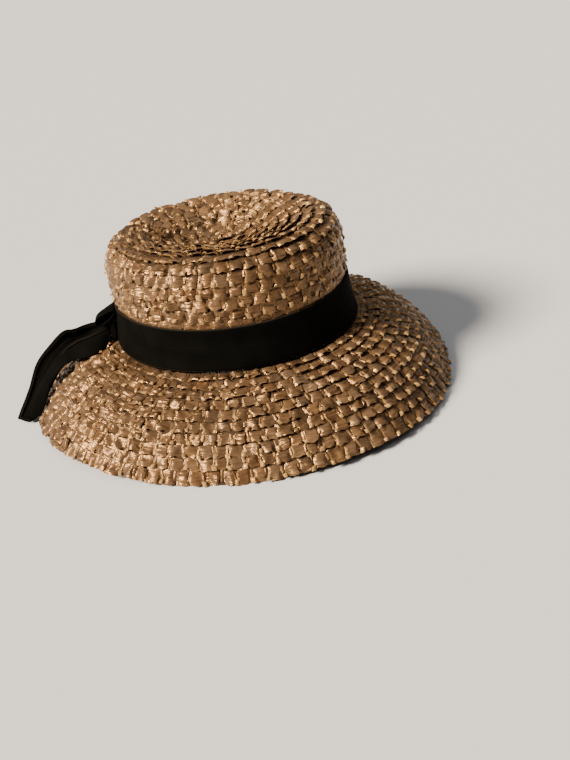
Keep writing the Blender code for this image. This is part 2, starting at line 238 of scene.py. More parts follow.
class Surface:
    """The hat's outer face, from the rim up the brim, or from the foot up the crown to the middle
    of the top. A place is an angle from the front and a length along the section."""

    STEPS = 160
    # How far along the section the edge of the top is felt.
    EDGE_REACH = 0.022

    def __init__(self, form, stretch, bulge=0.0):
        self.form = form
        self.bulge = bulge
        foot = rim_level(form) + form.brim_drop
        share = np.linspace(0.0, 1.0, self.STEPS)
        if stretch == "brim":
            place = 1.0 - share
            fall = form.brim_slope * place + (1 - form.brim_slope) * place ** form.brim_turn
            out = place * form.brim_width
            height = foot - form.brim_drop * fall
            columns = [out, height, np.ones(self.STEPS), place ** 2, np.zeros(self.STEPS)]
        else:
            columns = self.crown_columns(share, foot + form.gap)
        self.columns = np.array(columns)
        half = (form.crown_length / 2 + self.columns[0]) * self.columns[2]
        steps = np.hypot(np.diff(half), np.diff(self.columns[1]))
        self.lengths = np.concatenate([[0.0], np.cumsum(steps)])
        self.total = float(self.lengths[-1])
        self.edge_of_top = self.lengths[2 * self.STEPS - 2] if stretch == "crown" else None

    def crown_columns(self, share, foot):
        form = self.form
        wall_top = form.crown_height - form.shoulder
        rise = wall_top * share
        wall = [-drawn_in(form, rise), rise, np.ones(self.STEPS), rise / form.crown_height]
        turn = share * math.pi / 2
        rise = form.crown_height - form.shoulder * (1 - np.sin(turn))
        out = -form.waist_depth - form.shoulder * (1 - np.cos(turn))
        shoulder = [out, rise, np.ones(self.STEPS), rise / form.crown_height]
        inset = form.waist_depth + form.shoulder
        flat = form.tip_flat / (form.crown_length / 2 - inset)
        size = 1 - share
        rest = np.maximum((size - flat) / (1 - flat), 0.0)
        rise = form.crown_height - form.dish_depth * (1 + np.cos(math.pi * rest)) / 2
        dish = [np.full(self.STEPS, -inset), rise, size, rest ** 2]
        joined = [np.concatenate([a[:-1], b[:-1], c]) for a, b, c in zip(wall, shoulder, dish)]
        out, rise, size, tilt = joined
        return [out, foot + rise, size, np.zeros(len(out)), tilt]

    def points(self, angle, length):
        """Points at angles from the front and lengths along the section."""
        form = self.form
        out, height, size, waves, tilt = (np.interp(length, self.lengths, c) for c in self.columns)
        lift = np.zeros_like(angle)
        sway = np.zeros_like(angle)
        for times, lift_share, sway_share, start in RIM_FORM:
            wave = np.cos(times * angle + math.radians(start))
            lift += lift_share * wave
            sway += sway_share * wave
        beside = np.mod(angle - form.bulge_place + math.pi, 2 * math.pi) - math.pi
        sway = (sway * form.rim_sway + self.bulge * np.exp(-(beside / form.bulge_spread) ** 2)) * waves
        wide = (form.crown_width / 2 + out) * size + sway
        long = (form.crown_length / 2 + out) * size + sway
        rise = height + form.rim_wave * lift * waves + form.crown_tilt * np.cos(angle) * tilt
        return np.stack([AXIS.x + wide * np.sin(angle), AXIS.y - long * np.cos(angle), rise], -1)

    def normals(self, angle, length):
        """Directions out of the face."""
        step = 0.0008
        low = np.clip(length - step, 0.0, self.total - 2 * step)
        along = self.points(angle, low + 2 * step) - self.points(angle, low)
        turn = 0.004
        sideways = self.points(angle + turn, length) - self.points(angle - turn, length)
        found = np.cross(sideways, along)
        size = np.linalg.norm(found, axis=-1, keepdims=True)
        return found / np.maximum(size, 1e-12)

    def near_edge_of_top(self, length):
        """1 where the crown's shoulder meets its top, falling to 0 away from there and on the brim."""
        if self.edge_of_top is None:
            return 0.0
        return math.exp(-((length - self.edge_of_top) / self.EDGE_REACH) ** 2)

    def girth(self, length):
        """The distance round the hat at a length, and the angles it is measured at."""
        angle = np.linspace(0.0, 2 * math.pi, 721)
        ring = self.points(angle, np.full(angle.shape, length))
        steps = np.linalg.norm(np.diff(ring, axis=0), axis=-1)
        return np.concatenate([[0.0], np.cumsum(steps)]), angle


def cells(index):
    """The quads of a grid of point numbers."""
    return np.stack([index[:-1, :-1], index[:-1, 1:], index[1:, 1:], index[1:, :-1]], -1).reshape(-1, 4)


class Plates:
    """Many small bent plates of flat straw, gathered into one mesh."""

    def __init__(self):
        self.points = []
        self.faces = []
        self.grain = []
        self.edge = []
        self.count = 0

    def add(self, top, under, grain, edge):
        """Closed plates from grids of points: plates, rows, columns, then three numbers."""
        plates, rows, columns = top.shape[:3]
        each = rows * columns
        index = np.arange(each).reshape(rows, columns)
        inner = cells(index)
        border = np.concatenate([index[0, :-1], index[:-1, -1], index[-1, :0:-1], index[:0:-1, 0]])
        after = np.roll(border, -1)
        rim = np.stack([after, border, border + each, after + each], -1)
        quads = np.concatenate([inner, inner[:, ::-1] + each, rim])
        starts = self.count + np.arange(plates)[:, None, None] * 2 * each
        self.faces.append((quads[None] + starts).reshape(-1, 4))
        pairs = ((self.points, top, under), (self.grain, grain, grain), (self.edge, edge, edge))
        for store, first, second in pairs:
            both = [part.reshape(plates, each, -1) for part in (first, second)]
            store.append(np.concatenate(both, 1).reshape(2 * plates * each, -1))
        self.count += plates * 2 * each

    def build(self, name):
        gathered = (self.points, self.faces, self.edge, self.grain)
        return mesh_piece(name, *(np.concatenate(part) for part in gathered))


def mesh_piece(name, points, quads, edge, grain=None):
    """A smooth mesh of quads, with the places that its material's grain follows."""
    points = np.asarray(points, np.float32).reshape(-1, 3)
    quads = np.asarray(quads, np.int32).reshape(-1, 4)
    grain = np.zeros_like(points) if grain is None else grain
    mesh = bpy.data.meshes.new(name)
    mesh.vertices.add(len(points))
    mesh.vertices.foreach_set("co", points.ravel())
    mesh.loops.add(quads.size)
    mesh.loops.foreach_set("vertex_index", quads.ravel())
    mesh.polygons.add(len(quads))
    mesh.polygons.foreach_set("loop_start", np.arange(len(quads), dtype=np.int32) * 4)
    mesh.update(calc_edges=True)
    layers = (("grain", "FLOAT_VECTOR", "vector", grain), ("edge", "FLOAT", "value", edge))
    for label, kind, field, values in layers:
        layer = mesh.attributes.new(label, kind, "POINT")
        layer.data.foreach_set(field, np.asarray(values, np.float32).ravel())
    mesh.shade_smooth()
    mesh.set_sharp_from_angle(angle=SHARP_FOLD)
    piece = bpy.data.objects.new(name, mesh)
    bpy.context.scene.collection.objects.link(piece)
    return piece


def grid_lines(along, across):
    """Where the lines of a straw's grid lie, from -0.5 at one end to 0.5 at the other."""
    return np.array(along)[None, None, :], np.array(across)[None, :, None]


# The lines are close together where the tape folds.
FINE_GRID = grid_lines(
    (-0.5, -0.45, -0.40, -0.33, -0.20, -0.07, 0.07, 0.20, 0.33, 0.40, 0.45, 0.5),
    (-0.5, -0.43, -0.28, -0.1, 0.1, 0.28, 0.43, 0.5),
)
COARSE_GRID = grid_lines((-0.5, -0.42, -0.15, 0.15, 0.42, 0.5), (-0.5, -0.4, 0.0, 0.4, 0.5))
SMALL_GRID = grid_lines((-0.5, -0.32, 0.0, 0.32, 0.5), (-0.5, -0.3, 0.0, 0.3, 0.5))
DEEP_GRID = grid_lines((-0.5, -0.2, 0.2, 0.5), (-0.5, 0.0, 0.5))

# Sizes of the plait's pieces in metres. Two numbers are the least and the most of a random draw.
FLOAT = dict(bow=0.0011, slip=0.0005, ragged_edge=0.0005, ragged_end=0.0007, tuck=0.0012, trim=0.0005)
FOLD = dict(place=0.0035, reach=0.0026)
CROSSING = dict(
    long=(0.0022, 0.0036), out=(0.0004, 0.0022), aside=(-0.0010, 0.0006),
    depth=(-0.0016, -0.0008), arch=0.0008, tilt=(0.0004, 0.0018),
)
NUB = dict(size=(0.0028, 0.0042), aside=(-0.0004, 0.0018), arch=0.0013, dive=0.0016, dip=0.0010)
TUFT = dict(long=(0.0035, 0.0070), wide=(0.0009, 0.0018), twist=(-0.0012, 0.0012))

# The straw rises to its full lift over this length above the band.
PRESSED_REACH = 0.004
NEARLY_A_TURN = 6.28


def ramp(value, start, width):
    """0 up to a start, rising to 1 over a width."""
    return np.clip((value - start) / width, 0, 1)


def row_lengths(first, last, pitch):
    """Middle lengths and widths of even rows between two lengths along the section."""
    count = max(round((last - first) / pitch), 1)
    width = (last - first) / count
    return [(first + (place + 0.5) * width, width) for place in range(count)]


def held_between(lift, low, high):
    """Bends numbers smoothly so that they stay between two limits."""
    middle = (low + high) / 2
    reach = (high - low) / 2
    return middle + reach * np.tanh((lift - middle) / reach)


class Ring:
    """One row of the plait under way: its middle length, its width, and where its pieces lie."""

    def __init__(self, surface, row, look, rng, start, inside, pressed):
        self.surface = surface
        self.middle, self.width = row
        self.look = look
        self.rng = rng
        self.inside = inside
        self.pressed = pressed
        self.shoulder = surface.near_edge_of_top(self.middle)
        self.lap = look.lap_lift * (1 + 0.7 * self.shoulder)
        self.table, self.angle = surface.girth(self.middle)
        self.count = max(round(self.table[-1] / look.tile_pitch), 3)
        self.spacing = self.table[-1] / self.count
        self.slits = (np.arange(self.count) + start + rng.uniform(-0.09, 0.09, self.count)) * self.spacing

    def each(self, low, high):
        """A random number for each piece in the ring."""
        return self.rng.uniform(low, high, len(self.slits))[:, None, None]

    def thinned(self, chance):
        """The same row with only some of its slits."""
        fewer = copy.copy(self)
        fewer.slits = self.slits[self.rng.random(len(self.slits)) < chance]
        return fewer

    def phase(self):
        """A random start of a wave for each piece."""
        return self.each(0, NEARLY_A_TURN)

    def unrest(self):
        """How crumpled the straw is at each piece, least at the hat's front and the crown's shoulder."""
        turn = np.interp(np.mod(self.slits, self.table[-1]), self.table, self.angle)
        share = (1 - np.cos(turn)) / 2 * (1 - 0.75 * self.shoulder)
        return (self.look.neat + (1 - self.look.neat) * share)[:, None, None]

    def folds(self, x, y, number, steepness):
        """Sharp folds in random directions through each piece."""
        lift = 0.0
        for _ in range(number):
            turn = self.each(0, math.pi)
            distance = np.cos(turn) * x + np.sin(turn) * y - self.each(-FOLD["place"], FOLD["place"])
            lift = lift + self.each(-1, 1) * steepness * (abs(distance) - FOLD["reach"])
        return lift

    def lay(self, plates, x, y, place, lift, edge, grain_along_y=False, highest=None):
        """Adds plates to the face. x runs along the row and y across it, from each piece's place;
        lift is how far each point stands off the face."""
        shape = np.broadcast_shapes(x.shape, y.shape, lift.shape)
        x, y, lift, edge = (np.broadcast_to(a, shape) for a in (x, y, lift, edge))
        length = np.clip(self.middle + y, 0.0, self.surface.total)
        around = place[:, None, None] + x
        turn = np.interp(np.mod(around, self.table[-1]), self.table, self.angle)
        base = self.surface.points(turn, length)
        out = self.surface.normals(turn, length)
        lift = held_between(lift, self.look.lowest, highest or self.look.highest)
        if self.pressed:
            lift = lift * ramp(length, self.pressed, PRESSED_REACH)
        tape = self.look.tape
        side = 1.0
        if self.inside:
            base = base - out * self.surface.form.wall
            side = -1.0
        top = base + out * (side * lift)[..., None]
        under = top - out * (side * tape)
        low = np.minimum(top[..., 2], under[..., 2])
        raised = np.zeros(shape + (3,))
        raised[..., 2] = np.maximum(FLOOR_GAP - low, 0.0)
        tone = np.broadcast_to(self.each(0, 40), shape)
        first, second = (y, x) if grain_along_y else (x, y)
        grain = np.stack([first + tone, second, tone], -1)
        top, under = top + raised, under + raised
        if self.inside:
            top, under, grain, edge = (a[:, ::-1] for a in (top, under, grain, edge))
        plates.add(top, under, grain, edge)


def add_floats(ring, plates, lines):
    """The plait's broad floats. One end of each stands proud with a fold in the pale edge colour, partly
    worn and partly painted highlight where the main light falls; the other dives.
    """
    look = ring.look
    each = ring.each
    u, v = lines
    unrest = ring.unrest()
    long = ring.spacing * (each(0.84, 0.99) - 0.10 * unrest * each(0, 1))
    high = ring.width * each(0.85, 1.02) + look.overlap
    skew = each(-0.22, 0.22)
    y = v * high + each(-FLOAT["bow"], FLOAT["bow"]) * (1 - (2 * u) ** 2) * unrest
    y = y + each(-FLOAT["slip"], FLOAT["slip"]) - look.overlap * 0.4
    y = y + FLOAT["ragged_edge"] * np.sin(9 * u + ring.phase()) * (abs(v) > 0.4)
    x = u * long + skew * y + FLOAT["ragged_end"] * np.sin(7 * v + ring.phase()) * (abs(u) > 0.3)
    fold_at = each(0.31, 0.40)
    folded = ramp(abs(u), fold_at, 0.5 - fold_at)
    proud = u < 0
    lift = ring.lap * (0.45 - 2 * v * each(0.6, 1.3)) - x * each(0.04, 0.16)
    lift = lift - look.arch * each(0.5, 1.4) * (2 * u) ** 2
    lift = lift - look.fold_drop * each(0.7, 1.2) * np.where(proud, 0.55, 1.0) * folded ** 1.2
    lift = lift - np.where(v > 0, FLOAT["tuck"], FLOAT["trim"]) * ramp(abs(v), 0.30, 0.2) ** 1.5
    lift = lift + x * each(-0.24, 0.24) * unrest + v * high * each(-0.20, 0.20) * (0.4 + unrest)
    lift = lift + ring.folds(x, y, 4, look.crumple * unrest)
    crease = np.sin(v * 19.0 * each(0.8, 1.25) + u * each(-3.5, 3.5) + ring.phase())
    lift = lift + look.crease * each(0.2, 1.3) * crease * (1 - 0.7 * folded)
    # The proud ends face the main light and get most of the pale edge colour, the diving ends little, and
    # the rows' outer edges some: partly wear, partly painted highlight.
    rubbed_and_lit = folded * np.where(proud, each(0.5, 1.0), 0.15)
    edge = np.maximum(rubbed_and_lit, ramp(-v, 0.42, 0.08) * each(0.1, 0.7))
    ring.lay(plates, x, y, ring.slits + ring.spacing / 2, lift, edge)


def add_crossings(ring, plates, lines):
    """The narrow strips that show deep between two floats."""
    each = ring.each
    u, v = lines
    long = each(*CROSSING["long"])
    high = ring.width * each(0.40, 0.80)
    y = v * high + each(*CROSSING["out"])
    x = u * long + each(-0.3, 0.3) * y + each(*CROSSING["aside"])
    lift = each(*CROSSING["depth"]) + CROSSING["arch"] * (1 - (2 * u) ** 2) - v * each(*CROSSING["tilt"])
    lift = lift + u * long * each(-0.5, 0.3)
    ring.lay(plates, x, y, ring.slits, lift, each(0.0, 0.3), True)


def add_nubs(ring, plates):
    """The small square folds of tape that stand up at the outer end of a slit."""
    ring = ring.thinned(ring.look.nubs)
    each = ring.each
    u, v = SMALL_GRID
    long = each(*NUB["size"])
    high = each(*NUB["size"])
    y = v * high - ring.width * each(0.24, 0.42)
    x = u * long + each(-0.5, 0.5) * v * high + each(*NUB["aside"])
    lift = ring.look.lap_lift * each(1.1, 2.0) + NUB["arch"] * (1 - (2 * u) ** 2) * (1 - (1.6 * v) ** 2)
    lift = lift + u * long * each(-0.25, 0.5) - v * high * each(-0.25, 0.4)
    lift = lift - NUB["dive"] * ramp(v, 0.2, 0.3) - NUB["dip"] * ramp(u, 0.2, 0.3)
    # The nubs get much of the pale edge colour: partly wear, partly painted highlight on folds that catch
    # the light.
    ring.lay(plates, x, y, ring.slits, lift, each(0.65, 1.0), True)


def add_tufts(ring, plates):
    """Loose ends of tape that curl up from the slits, most of them at the back."""
    look = ring.look
    ring = ring.thinned(look.tufts * (ring.unrest().ravel() - look.neat) / (1 - look.neat))
    if len(ring.slits):
        u = DEEP_GRID[0]
        v = SMALL_GRID[1]
        each = ring.each
        long = each(*TUFT["long"])
        y = (v + 0.5) * long * each(-0.8, 0.8) + u * each(*TUFT["wide"]) - ring.width * each(-0.2, 0.4)
        x = (v + 0.5) * long * each(-0.8, 0.8) + u * each(*TUFT["twist"])
        lift = look.lap_lift + look.tuft_reach * each(0.3, 0.8) * (v + 0.5) ** 1.5
        ring.lay(plates, x, y, ring.slits, lift, each(0.3, 1.0), True, look.tuft_reach)


def add_backing(surface, node, first, last):
    """Puts a closed dark sheet under the floats, a little inside both faces of the straw. Its dark colour is
    painted shade in the gaps between the floats.
    """
    turns = 120
    steps = 24
    half_sheet = 0.0003
    mean_radius = 0.12
    length = np.linspace(first, last, steps)
    angle = np.arange(turns) * 2 * math.pi / turns
    angle, length = np.meshgrid(angle, length)
    base = surface.points(angle, length)
    out = surface.normals(angle, length)
    faces = []
    for side in (-1, 1):
        face = base - out * (surface.form.wall / 2 + side * half_sheet)
        face[..., 2] = np.maximum(face[..., 2], FLOOR_GAP)
        faces.append(face[::-side])
    rows = 2 * steps
    index = np.arange(rows * turns).reshape(rows, turns)
    after = np.roll(index, -1, 1)
    above = np.roll(index, -1, 0)
    quads = np.stack([index, after, np.roll(above, -1, 1), above], -1)
    ring = np.concatenate([length, length[::-1]])
    turn = np.concatenate([angle, angle])
    grain = np.stack([turn * mean_radius, ring, np.zeros_like(ring)], -1)
    piece = mesh_piece(node + "_backing", np.concatenate(faces), quads, np.zeros(ring.size), grain)
    dark = shared("straw_backing_painted_shade", backing_material, settings()[1])
    finish_piece(piece, dark, "straw", node)


def settings():
    scene = bpy.context.scene
    return scene.hat_form, scene.hat_straw, scene.hat_velvet, scene.hat_stage


def finish_piece(piece, finish, slot, *nodes):
    """Gives a piece its material and its place on the model."""
    piece.data.materials.append(finish)
    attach(piece, "root")
    if nodes:
        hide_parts(*nodes)


class Value:
    """A node's output in an expression. Arithmetic on it adds Math nodes."""

    def __init__(self, recipe, socket):
        self.recipe = recipe
        self.socket = socket

    def math(self, operation, first, second):
        return self.recipe.node("ShaderNodeMath", {"operation": operation}, {0: first, 1: second})

    def __add__(self, other):
        return self.math("ADD", self, other)

    def __radd__(self, other):
        return self.math("ADD", other, self)

    def __sub__(self, other):
        return self.math("SUBTRACT", self, other)

    def __rsub__(self, other):
        return self.math("SUBTRACT", other, self)

    def __mul__(self, other):
        return self.math("MULTIPLY", self, other)

    def __rmul__(self, other):
        return self.math("MULTIPLY", other, self)


class Recipe:
    """A material or a world under construction."""

    def __init__(self, owner, shader="Principled BSDF"):
        self.owner = owner
        owner.use_nodes = True
        self.tree = owner.node_tree
        self.shader = self.tree.nodes[shader]

    def node(self, kind, choices, inputs, output=0):
        """Adds a node: its choices are set first, then its sockets' values and links."""
        made = self.tree.nodes.new(kind)
        for name, choice in choices.items():
            setattr(made, name, choice)
        for key, value in inputs.items():
            self.feed(made.inputs[key], value)
        return Value(self, made.outputs[output])

    def feed(self, socket, value):
        if isinstance(value, Value):
            self.tree.links.new(value.socket, socket)
        else:
            socket.default_value = value

    def mix(self, factor, first, second, blend="MIX"):
        """A colour between two, by a factor."""
        choices = {"data_type": "RGBA", "blend_type": blend}
        return self.node("ShaderNodeMix", choices, {0: factor, 6: first, 7: second}, 2)

    def noise(self, vector, scale, detail=2.0, roughness=0.5):
        inputs = {"Vector": vector, "Scale": scale, "Detail": detail, "Roughness": roughness}
        return self.node("ShaderNodeTexNoise", {}, inputs)

    def stretched(self, vector, factors):
        return self.node("ShaderNodeVectorMath", {"operation": "MULTIPLY"}, {0: vector, 1: factors})

    def span(self, value, low, high, to_low=0.0, to_high=1.0):
        """Maps one range of a value to another, and holds it there."""
        inputs = {0: value, 1: low, 2: high, 3: to_low, 4: to_high}
        return self.node("ShaderNodeMapRange", {"clamp": True}, inputs)

    def attribute(self, name, output):
        return self.node("ShaderNodeAttribute", {"attribute_name": name}, {}, output)

    def bump(self, height, strength, distance):
        inputs = {"Strength": strength, "Distance": distance, "Height": height}
        return self.node("ShaderNodeBump", {}, inputs)

    def set(self, **values):
        for name, value in values.items():
            self.feed(self.shader.inputs[name.replace("_", " ")], value)


def opaque(colour):
    return (*colour, 1.0)


def shared(name, make, look):
    """A material that several operators use, made by the first one that asks for it."""
    return bpy.data.materials.get(name) or make(name, look)


def straw_material(name, look):
    recipe = Recipe(bpy.data.materials.new(name))
    grain = recipe.attribute("grain", 1)
    edge = recipe.attribute("edge", 2)
    place = recipe.node("ShaderNodeTexCoord", {}, {}, 3)
    fibres = recipe.noise(recipe.stretched(grain, (90.0, 1500.0, 3.1)), 1.0, 3.0, 0.6)
    creases = recipe.noise(recipe.stretched(grain, (110.0, 460.0, 5.3)), 1.0, 2.0)
    tone = recipe.noise(recipe.stretched(grain, (0.0, 0.0, 7.7)), 1.0, 0.0)
    value = recipe.noise(recipe.stretched(grain, (0.0, 0.0, 13.3)), 1.0, 0.0)
    patches = recipe.noise(place, 16.0, 2.0)
    # The edge mask mixes in the pale colour: partly worn edges, partly painted highlight on the ends and
    # nubs that face the main light.
    rubbed_and_lit = recipe.mix(recipe.span(edge, 0.25, 1.0, 0.0, 0.75), opaque(look.colour), opaque(look.pale))
    warm = recipe.mix(recipe.span(tone, 0.35, 0.65), (0.90, 0.97, 1.08, 1.0), (1.12, 1.03, 0.90, 1.0))
    coloured = recipe.mix(1.0, rubbed_and_lit, warm, "MULTIPLY")
    # The streaks follow the fibres and the creases: the fibres are the straw's grain, and the light and dark
    # lines along the creases are painted highlight and shade.
    streaks = recipe.span(fibres * 0.5 + creases * 0.5, 0.32, 0.68, 0.62, 1.3)
    shade = streaks * recipe.span(patches, 0.3, 0.7, 0.88, 1.12) * recipe.span(value, 0.36, 0.64, 0.66, 1.26)
    dark = recipe.node("ShaderNodeCombineColor", {}, {0: shade, 1: shade, 2: shade})
    worn = recipe.span(edge, 0.1, 0.7, look.dull, look.gloss)
    recipe.set(
        Base_Color=recipe.mix(1.0, coloured, dark, "MULTIPLY"),
        Roughness=worn + recipe.span(fibres, 0.3, 0.7, -0.05, 0.05),
        Normal=recipe.bump(creases + fibres * 0.25, 1.0, 0.0012),
        IOR=1.5,
        Specular_IOR_Level=1.0,
        Specular_Tint=(1.0, 0.54, 0.23, 1.0),
    )
    return recipe.owner


# The backing's dark colour is painted shade for the gaps between the floats; its paler strands are the
# straw's grain.
def backing_material(name, look):
    recipe = Recipe(bpy.data.materials.new(name))
    grain = recipe.attribute("grain", 1)
    strands = recipe.noise(recipe.stretched(grain, (60.0, 900.0, 1.0)), 1.0, 2.0)
    pale = tuple(1.8 * channel for channel in look.deep)
    recipe.set(
        Base_Color=recipe.mix(recipe.span(strands, 0.3, 0.7), opaque(look.deep), opaque(pale)),
        Roughness=0.8,
        Specular_IOR_Level=0.1,
        Normal=recipe.bump(strands, 0.5, 0.0006),
    )
    return recipe.owner


def velvet_material(name, look):
    recipe = Recipe(bpy.data.materials.new(name))
    edge = recipe.attribute("edge", 2)
    place = recipe.node("ShaderNodeTexCoord", {}, {}, 3)
    pile = recipe.noise(place, 2600.0, 2.0)
    brushed = recipe.noise(place, 60.0, 3.0)
    pale = tuple(2.0 * channel for channel in look.colour)
    nap = recipe.mix(recipe.span(brushed, 0.35, 0.7), opaque(look.colour), opaque(pale))
    recipe.set(
        # The edge mask mixes in the lighter selvedge colour: partly the woven edge, partly painted sheen.
        Base_Color=recipe.mix(recipe.span(edge, 0.5, 1.0), nap, opaque(look.edge)),
        Roughness=0.85,
        Normal=recipe.bump(pile + brushed * 0.6, 0.5, 0.0003),
        Sheen_Weight=0.006,
        Sheen_Roughness=0.35,
        Sheen_Tint=(0.75, 0.68, 0.55, 1.0),
        Specular_IOR_Level=0.03,
    )
    return recipe.owner


def plait(name, surface, rows, shift, inside, pressed, rng, node):
    """Lays rows of straw over a stretch of the hat, as a piece of floats and a piece of small folds."""
    look = settings()[1]
    finish = shared("plaited_straw", straw_material, look)
    floats = Plates()
    crossings = Plates()
    for place, row in enumerate(rows):
        start = 0.5 * ((place + shift) % 2) + rng.uniform(-0.15, 0.15)
        ring = Ring(surface, row, look, rng, start, inside, pressed)
        add_floats(ring, floats, COARSE_GRID if inside else FINE_GRID)
        add_crossings(ring, crossings, DEEP_GRID if inside else SMALL_GRID)
        if not inside:
            add_nubs(ring, crossings)
            if ring.middle < surface.total - 2 * look.row_pitch:
                add_tufts(ring, crossings)
    finish_piece(floats.build(name + "_straw"), finish, "straw", node)
    finish_piece(crossings.build(name + "_crossings"), finish, "straw")


class HAT_OT_brim(bpy.types.Operator):
    """Lays the rows of plaited straw over the brim, above and below"""

    bl_idname = "hat.brim"
    bl_label = "Plait the Brim"

    # From the rim to the edge of the backing.
    BACKING_INSET = 0.0006

    def execute(self, context):
        form, look, _, _ = settings()
        rng = np.random.default_rng(look.seed)
        brim = Surface(form, "brim", form.bulge)
        rows = [(look.rim_row / 2, look.rim_row)]
        rows += row_lengths(look.rim_row, brim.total, look.row_pitch)
        half = len(rows) // 2
        plait("brim_outer", brim, rows[:half], 0, False, 0.0, rng, "brim")
        plait("brim_inner", brim, rows[half:], half, False, 0.0, rng, "brim")
        plait("brim_under", brim, rows, 0, True, 0.0, rng, "brim")
        add_backing(brim, "brim", self.BACKING_INSET, brim.total)
        return {"FINISHED"}


class HAT_OT_crown(bpy.types.Operator):
    """Lays the rows of plaited straw over the crown, outside and inside"""

    bl_idname = "hat.crown"
    bl_label = "Plait the Crown"

    # How far the first row reaches under the band, and where the backing ends short of the middle.
    UNDER_BAND = 0.003
    BACKING_INSET = 0.0005

    def execute(self, context):
        form, look, velvet, _ = settings()
        rng = np.random.default_rng(look.seed + 1)
        crown = Surface(form, "crown")
        outer_rows = row_lengths(velvet.ribbon_width - self.UNDER_BAND, crown.total, look.row_pitch)
        inner_rows = row_lengths(0.0, crown.total, look.row_pitch)
        plait("crown", crown, outer_rows, 0, False, velvet.ribbon_width, rng, "crown")
        plait("crown_inside", crown, inner_rows, 0, True, 0.0, rng, "crown")
        add_backing(crown, "crown", 0.0, crown.total - self.BACKING_INSET)
        return {"FINISHED"}


def selvedge_and_sheen(columns):
    """1 at both edges of a ribbon and 0 over the rest. It places the lighter selvedge colour, partly the
    woven edge and partly painted sheen.
    """
    return ramp(abs(np.linspace(-1.0, 1.0, columns)), 0.93, 0.05)


def velvet_finish(piece, velvet, node):
    finish_piece(piece, shared("black_velvet", velvet_material, velvet), "velvet", node)


def ribbon_piece(name, points, thickness, velvet, node):
    """A velvet strip through rows of points, thickened evenly to both sides, in a node's place."""
    rows, columns = points.shape[:2]
    index = np.arange(rows * columns).reshape(rows, columns)
    edge = np.broadcast_to(selvedge_and_sheen(columns), (rows, columns))
    piece = mesh_piece(name, points, cells(index), edge)
    shell = piece.modifiers.new("cloth", "SOLIDIFY")
    shell.thickness = thickness
    shell.offset = 0.0
    velvet_finish(piece, velvet, node)
    return piece


class BowPlace:
    """Directions at the bow: out from the band, to the side and up."""

    # From the crown's widest wall to the bow's back.
    STAND = 0.0013

    def __init__(self, form, velvet):
        length = form.crown_length / 2 + form.gap + self.STAND
        width = form.crown_width / 2 + form.gap + self.STAND
        back = length * math.sqrt(1 - (velvet.bow_place / width) ** 2)
        foot = rim_level(form) + form.brim_drop
        self.origin = Vector((AXIS.x - velvet.bow_place, AXIS.y + back, foot))
        self.out = Vector((-velvet.bow_place / width ** 2, back / length ** 2, 0)).normalized()
        self.side = Vector((-self.out.y, self.out.x, 0))
        self.radius = width ** 2 / length

    def place(self, out, side, rise=0.0):
        """A point at distances out from the band, to the side and up."""
        return self.origin + self.out * out + self.side * side + UPWARD * rise

    def grid(self, out, side, rise):
        """Rows of such points."""
        places = np.broadcast(out, side, rise)
        return np.reshape([self.place(*place) for place in places], (*places.shape, 3))


def smooth_rows(rows, steps):
    """A smooth curve through rows of numbers, with the given steps between each two."""
    rows = np.asarray(rows, float)
    padded = np.concatenate([rows[:1], rows, rows[-1:]])
    t = (np.arange(steps) / steps)[:, None]
    found = []
    for place in range(len(rows) - 1):
        a, b, c, d = padded[place:place + 4]
        found.append(
            a * (-t + 2 * t ** 2 - t ** 3) / 2
            + b * (2 - 5 * t ** 2 + 3 * t ** 3) / 2
            + c * (t + 4 * t ** 2 - 3 * t ** 3) / 2
            + d * (t ** 3 - t ** 2) / 2
        )
    found.append(rows[-1:])
    return np.concatenate(found)


def brim_height(surface, place):
    """Height of the brim's upper face under a place, or of the floor past the rim."""
    lengths = np.linspace(0.0, surface.total, 200)
    right = place[0] - AXIS.x
    back = place[1] - AXIS.y
    half = np.interp(lengths, surface.lengths, surface.columns[0])
    wide = surface.form.crown_width / 2 + half
    long = surface.form.crown_length / 2 + half
    angle = np.arctan2(right / wide, -back / long)
    ring = surface.points(angle, lengths)
    reach = np.hypot(ring[:, 0] - AXIS.x, ring[:, 1] - AXIS.y)
    wanted = math.hypot(right, back)
    if wanted >= reach[0]:
        return 0.0
    return float(np.interp(-wanted, -reach, ring[:, 2]))


def pleated(width, depth, wanted, steps):
    """Across one section: places along and off the line between its edges, so that the cloth's
    width is as wanted. The cloth doubles back in the middle and at both edges."""
    t = np.linspace(0.0, 1.0, steps)
    low, high = 0.0, 8.0
    for _ in range(30):
        fold = (low + high) / 2
        along = width * (t - fold * np.sin(4 * math.pi * t) / (4 * math.pi))
        off = depth * np.sin(2 * math.pi * t)
        reach = np.hypot(np.diff(along), np.diff(off)).sum()
        if reach > wanted:
            high = fold
        else:
            low = fold
    return along / width, off


